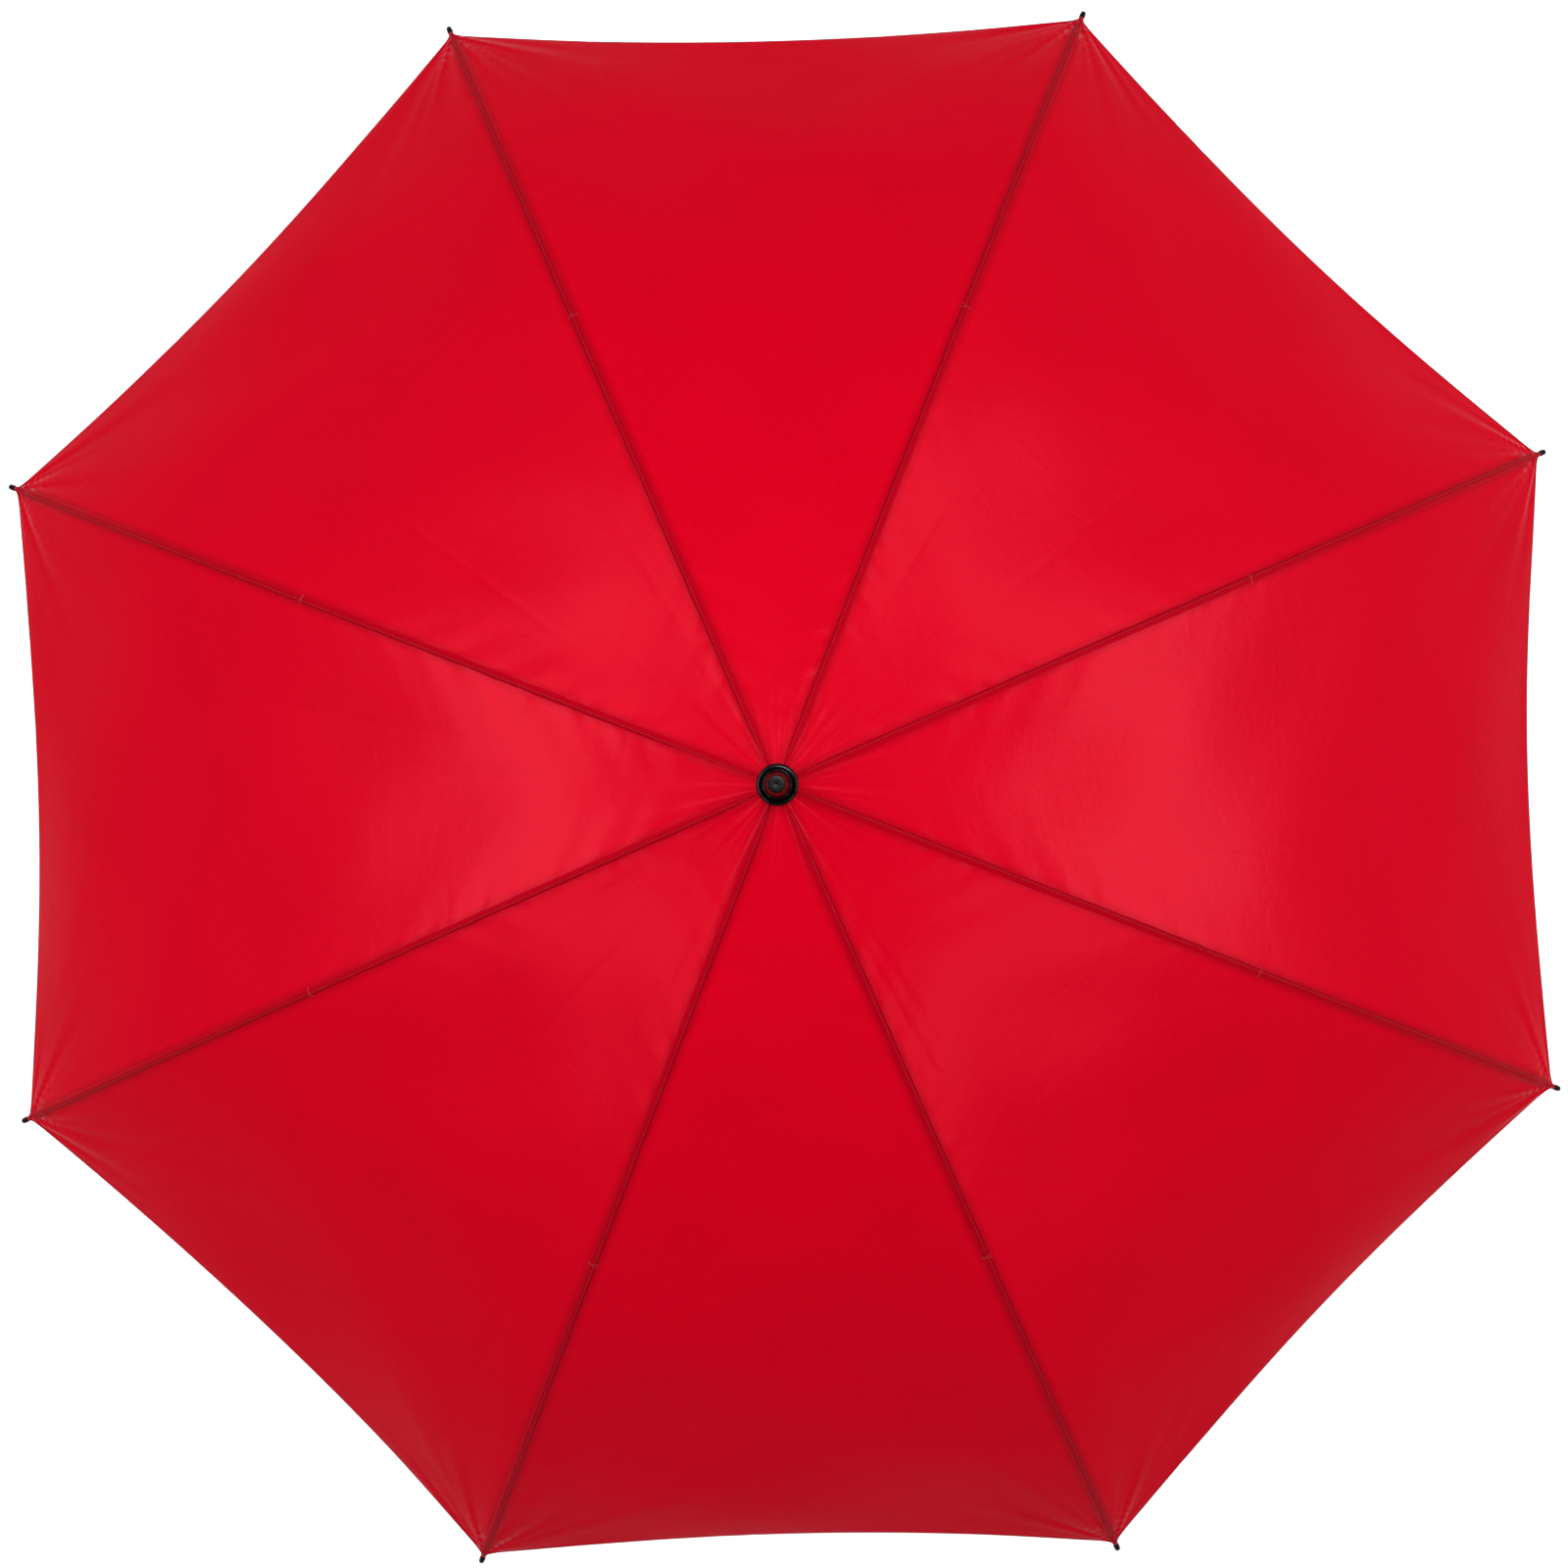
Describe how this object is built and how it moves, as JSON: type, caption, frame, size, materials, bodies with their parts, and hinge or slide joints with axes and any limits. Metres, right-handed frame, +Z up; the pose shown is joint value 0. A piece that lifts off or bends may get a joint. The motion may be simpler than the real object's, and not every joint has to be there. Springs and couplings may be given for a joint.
{
  "type": "golf umbrella",
  "caption": "Wide dome of sewn cloth panels on a straight tube shaft, with hinged ribs and stretchers, a sliding runner, a spiked cap and a straight foam grip.",
  "frame": {"origin": "middle of the handle's end face, on the shaft's axis", "axes": "+Z up the shaft towards the ferrule, +X towards the side the catches are pressed from; the ribs stand at 22.5 degrees from X and every 45 degrees from there"},
  "size_m": [1.2078, 1.2078, 1.01],
  "materials": {
    "black_steel": "satin black paint on steel tube and channel",
    "bright_steel": "bright zinc-plated steel",
    "black_plastic": "glossy moulded black plastic",
    "matt_plastic": "matt moulded black plastic",
    "foam": "fine-pored black foam",
    "fibreglass": "black pulled fibreglass rod",
    "red_cloth": "satin plain-weave polyester, red"
  },
  "bodies": {
    "frame": {"shaft_tube": "black_steel", "grip_core": "matt_plastic", "grip_foam": "foam", "grip_end_cap": "matt_plastic", "grip_collar": "matt_plastic", "crown_notch": "matt_plastic", "crown_wire": "bright_steel", "ferrule_washer": "black_plastic", "ferrule_spike": "black_plastic", "runner_stop": "bright_steel", "catch_pins": "bright_steel", "canopy": "red_cloth", "tie_strap": "red_cloth"},
    "runner": {"runner_sleeve": "matt_plastic", "runner_notch": "matt_plastic", "runner_wire": "bright_steel"},
    "top_catch": {"top_catch": "bright_steel"},
    "bottom_catch": {"bottom_catch": "bright_steel"},
    "rib_1": {"rib_channel_1": "black_steel"},
    "rib_end_1": {"rib_joint_1": "matt_plastic", "rib_rod_1": "fibreglass", "rib_tip_1": "black_plastic"},
    "stretcher_1": {"stretcher_1": "black_steel"},
    "rib_2": {"rib_channel_2": "black_steel"},
    "rib_end_2": {"rib_joint_2": "matt_plastic", "rib_rod_2": "fibreglass", "rib_tip_2": "black_plastic"},
    "stretcher_2": {"stretcher_2": "black_steel"},
    "rib_3": {"rib_channel_3": "black_steel"},
    "rib_end_3": {"rib_joint_3": "matt_plastic", "rib_rod_3": "fibreglass", "rib_tip_3": "black_plastic"},
    "stretcher_3": {"stretcher_3": "black_steel"},
    "rib_4": {"rib_channel_4": "black_steel"},
    "rib_end_4": {"rib_joint_4": "matt_plastic", "rib_rod_4": "fibreglass", "rib_tip_4": "black_plastic"},
    "stretcher_4": {"stretcher_4": "black_steel"},
    "rib_5": {"rib_channel_5": "black_steel"},
    "rib_end_5": {"rib_joint_5": "matt_plastic", "rib_rod_5": "fibreglass", "rib_tip_5": "black_plastic"},
    "stretcher_5": {"stretcher_5": "black_steel"},
    "rib_6": {"rib_channel_6": "black_steel"},
    "rib_end_6": {"rib_joint_6": "matt_plastic", "rib_rod_6": "fibreglass", "rib_tip_6": "black_plastic"},
    "stretcher_6": {"stretcher_6": "black_steel"},
    "rib_7": {"rib_channel_7": "black_steel"},
    "rib_end_7": {"rib_joint_7": "matt_plastic", "rib_rod_7": "fibreglass", "rib_tip_7": "black_plastic"},
    "stretcher_7": {"stretcher_7": "black_steel"},
    "rib_8": {"rib_channel_8": "black_steel"},
    "rib_end_8": {"rib_joint_8": "matt_plastic", "rib_rod_8": "fibreglass", "rib_tip_8": "black_plastic"},
    "stretcher_8": {"stretcher_8": "black_steel"}
  },
  "joints": [
    {"name": "canopy_fold", "type": "hinge", "parent": "frame", "child": "rib_1", "pos_m": [0.01109, 0.00459, 0.945], "axis": [-0.3827, 0.9239, 0], "range_deg": [0, 71.2], "deforming": ["canopy", "tie_strap"]},
    {"name": "stretcher_1_hinge", "type": "hinge", "parent": "rib_1", "child": "stretcher_1", "pos_m": [0.30578, 0.12666, 0.84261], "axis": [-0.3827, 0.9239, 0], "range_deg": [-142.41, 0]},
    {"name": "rib_1_flex", "type": "hinge", "parent": "rib_1", "child": "rib_end_1", "pos_m": [0.30578, 0.12666, 0.84261], "axis": [-0.3827, 0.9239, 0], "range_deg": [-14.62, 0]},
    {"name": "rib_2_hinge", "type": "hinge", "parent": "frame", "child": "rib_2", "pos_m": [0.00459, 0.01109, 0.945], "axis": [-0.9239, 0.3827, 0], "range_deg": [0, 71.2]},
    {"name": "stretcher_2_hinge", "type": "hinge", "parent": "rib_2", "child": "stretcher_2", "pos_m": [0.12666, 0.30578, 0.84261], "axis": [-0.9239, 0.3827, 0], "range_deg": [-142.41, 0]},
    {"name": "rib_2_flex", "type": "hinge", "parent": "rib_2", "child": "rib_end_2", "pos_m": [0.12666, 0.30578, 0.84261], "axis": [-0.9239, 0.3827, 0], "range_deg": [-14.62, 0]},
    {"name": "rib_3_hinge", "type": "hinge", "parent": "frame", "child": "rib_3", "pos_m": [-0.00459, 0.01109, 0.945], "axis": [-0.9239, -0.3827, 0], "range_deg": [0, 71.2]},
    {"name": "stretcher_3_hinge", "type": "hinge", "parent": "rib_3", "child": "stretcher_3", "pos_m": [-0.12666, 0.30578, 0.84261], "axis": [-0.9239, -0.3827, 0], "range_deg": [-142.41, 0]},
    {"name": "rib_3_flex", "type": "hinge", "parent": "rib_3", "child": "rib_end_3", "pos_m": [-0.12666, 0.30578, 0.84261], "axis": [-0.9239, -0.3827, 0], "range_deg": [-14.62, 0]},
    {"name": "rib_4_hinge", "type": "hinge", "parent": "frame", "child": "rib_4", "pos_m": [-0.01109, 0.00459, 0.945], "axis": [-0.3827, -0.9239, 0], "range_deg": [0, 71.2]},
    {"name": "stretcher_4_hinge", "type": "hinge", "parent": "rib_4", "child": "stretcher_4", "pos_m": [-0.30578, 0.12666, 0.84261], "axis": [-0.3827, -0.9239, 0], "range_deg": [-142.41, 0]},
    {"name": "rib_4_flex", "type": "hinge", "parent": "rib_4", "child": "rib_end_4", "pos_m": [-0.30578, 0.12666, 0.84261], "axis": [-0.3827, -0.9239, 0], "range_deg": [-14.62, 0]},
    {"name": "rib_5_hinge", "type": "hinge", "parent": "frame", "child": "rib_5", "pos_m": [-0.01109, -0.00459, 0.945], "axis": [0.3827, -0.9239, 0], "range_deg": [0, 71.2]},
    {"name": "stretcher_5_hinge", "type": "hinge", "parent": "rib_5", "child": "stretcher_5", "pos_m": [-0.30578, -0.12666, 0.84261], "axis": [0.3827, -0.9239, 0], "range_deg": [-142.41, 0]},
    {"name": "rib_5_flex", "type": "hinge", "parent": "rib_5", "child": "rib_end_5", "pos_m": [-0.30578, -0.12666, 0.84261], "axis": [0.3827, -0.9239, 0], "range_deg": [-14.62, 0]},
    {"name": "rib_6_hinge", "type": "hinge", "parent": "frame", "child": "rib_6", "pos_m": [-0.00459, -0.01109, 0.945], "axis": [0.9239, -0.3827, 0], "range_deg": [0, 71.2]},
    {"name": "stretcher_6_hinge", "type": "hinge", "parent": "rib_6", "child": "stretcher_6", "pos_m": [-0.12666, -0.30578, 0.84261], "axis": [0.9239, -0.3827, 0], "range_deg": [-142.41, 0]},
    {"name": "rib_6_flex", "type": "hinge", "parent": "rib_6", "child": "rib_end_6", "pos_m": [-0.12666, -0.30578, 0.84261], "axis": [0.9239, -0.3827, 0], "range_deg": [-14.62, 0]},
    {"name": "rib_7_hinge", "type": "hinge", "parent": "frame", "child": "rib_7", "pos_m": [0.00459, -0.01109, 0.945], "axis": [0.9239, 0.3827, 0], "range_deg": [0, 71.2]},
    {"name": "stretcher_7_hinge", "type": "hinge", "parent": "rib_7", "child": "stretcher_7", "pos_m": [0.12666, -0.30578, 0.84261], "axis": [0.9239, 0.3827, 0], "range_deg": [-142.41, 0]},
    {"name": "rib_7_flex", "type": "hinge", "parent": "rib_7", "child": "rib_end_7", "pos_m": [0.12666, -0.30578, 0.84261], "axis": [0.9239, 0.3827, 0], "range_deg": [-14.62, 0]},
    {"name": "rib_8_hinge", "type": "hinge", "parent": "frame", "child": "rib_8", "pos_m": [0.01109, -0.00459, 0.945], "axis": [0.3827, 0.9239, 0], "range_deg": [0, 71.2]},
    {"name": "stretcher_8_hinge", "type": "hinge", "parent": "rib_8", "child": "stretcher_8", "pos_m": [0.30578, -0.12666, 0.84261], "axis": [0.3827, 0.9239, 0], "range_deg": [-142.41, 0]},
    {"name": "rib_8_flex", "type": "hinge", "parent": "rib_8", "child": "rib_end_8", "pos_m": [0.30578, -0.12666, 0.84261], "axis": [0.3827, 0.9239, 0], "range_deg": [-14.62, 0]},
    {"name": "runner_hinge", "type": "hinge", "parent": "stretcher_1", "child": "runner", "pos_m": [0.01109, 0.00459, 0.74022], "axis": [-0.3827, 0.9239, 0], "range_deg": [0, 71.2]},
    {"name": "top_catch_press", "type": "slide", "parent": "frame", "child": "top_catch", "axis": [-1, 0, 0], "range_m": [0, 0.0022], "stiffness_N_per_m": 400},
    {"name": "bottom_catch_press", "type": "slide", "parent": "frame", "child": "bottom_catch", "axis": [-1, 0, 0], "range_m": [0, 0.0022], "stiffness_N_per_m": 400}
  ],
  "couplings": [
    {"joint": "stretcher_1_hinge", "follows": "canopy_fold", "ratio": -2},
    {"joint": "rib_1_flex", "follows": "canopy_fold", "ratio": -0.20536},
    {"joint": "rib_2_hinge", "follows": "canopy_fold", "ratio": 1},
    {"joint": "stretcher_2_hinge", "follows": "canopy_fold", "ratio": -2},
    {"joint": "rib_2_flex", "follows": "canopy_fold", "ratio": -0.20536},
    {"joint": "rib_3_hinge", "follows": "canopy_fold", "ratio": 1},
    {"joint": "stretcher_3_hinge", "follows": "canopy_fold", "ratio": -2},
    {"joint": "rib_3_flex", "follows": "canopy_fold", "ratio": -0.20536},
    {"joint": "rib_4_hinge", "follows": "canopy_fold", "ratio": 1},
    {"joint": "stretcher_4_hinge", "follows": "canopy_fold", "ratio": -2},
    {"joint": "rib_4_flex", "follows": "canopy_fold", "ratio": -0.20536},
    {"joint": "rib_5_hinge", "follows": "canopy_fold", "ratio": 1},
    {"joint": "stretcher_5_hinge", "follows": "canopy_fold", "ratio": -2},
    {"joint": "rib_5_flex", "follows": "canopy_fold", "ratio": -0.20536},
    {"joint": "rib_6_hinge", "follows": "canopy_fold", "ratio": 1},
    {"joint": "stretcher_6_hinge", "follows": "canopy_fold", "ratio": -2},
    {"joint": "rib_6_flex", "follows": "canopy_fold", "ratio": -0.20536},
    {"joint": "rib_7_hinge", "follows": "canopy_fold", "ratio": 1},
    {"joint": "stretcher_7_hinge", "follows": "canopy_fold", "ratio": -2},
    {"joint": "rib_7_flex", "follows": "canopy_fold", "ratio": -0.20536},
    {"joint": "rib_8_hinge", "follows": "canopy_fold", "ratio": 1},
    {"joint": "stretcher_8_hinge", "follows": "canopy_fold", "ratio": -2},
    {"joint": "rib_8_flex", "follows": "canopy_fold", "ratio": -0.20536},
    {"joint": "runner_hinge", "follows": "canopy_fold", "ratio": 1}
  ]
}
